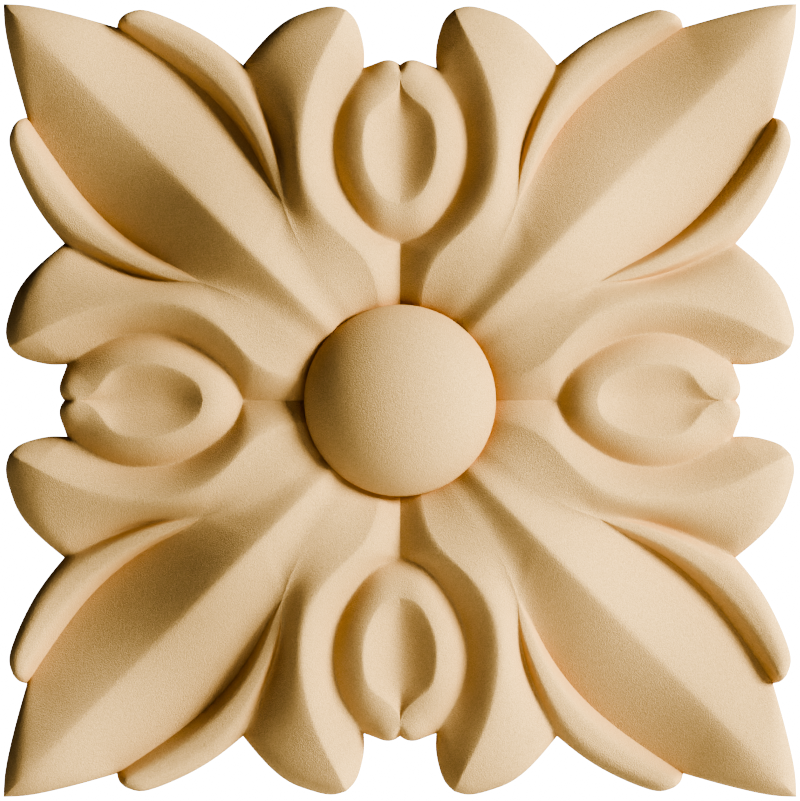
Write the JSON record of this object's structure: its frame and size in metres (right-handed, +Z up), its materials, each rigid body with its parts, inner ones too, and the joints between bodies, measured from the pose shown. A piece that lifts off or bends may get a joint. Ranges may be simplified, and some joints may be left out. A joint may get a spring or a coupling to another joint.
{
  "type": "square carved rosette applique",
  "caption": "Square leaf rosette for furniture or walls, with pointed corner leaves, side lobes, oval eyes and a central dome, on a flat back.",
  "frame": {"origin": "centre of the flat back", "axes": "+Y out of the flat back into the wall, the carved face looks along -Y, +Z up, +X to the right seen from the front"},
  "size_m": [0.1, 0.0145, 0.1],
  "materials": {
    "pressed_wood": "bare, matt, finely grained"
  },
  "bodies": {
    "root": {"rosette": "pressed_wood"}
  },
  "joints": []
}
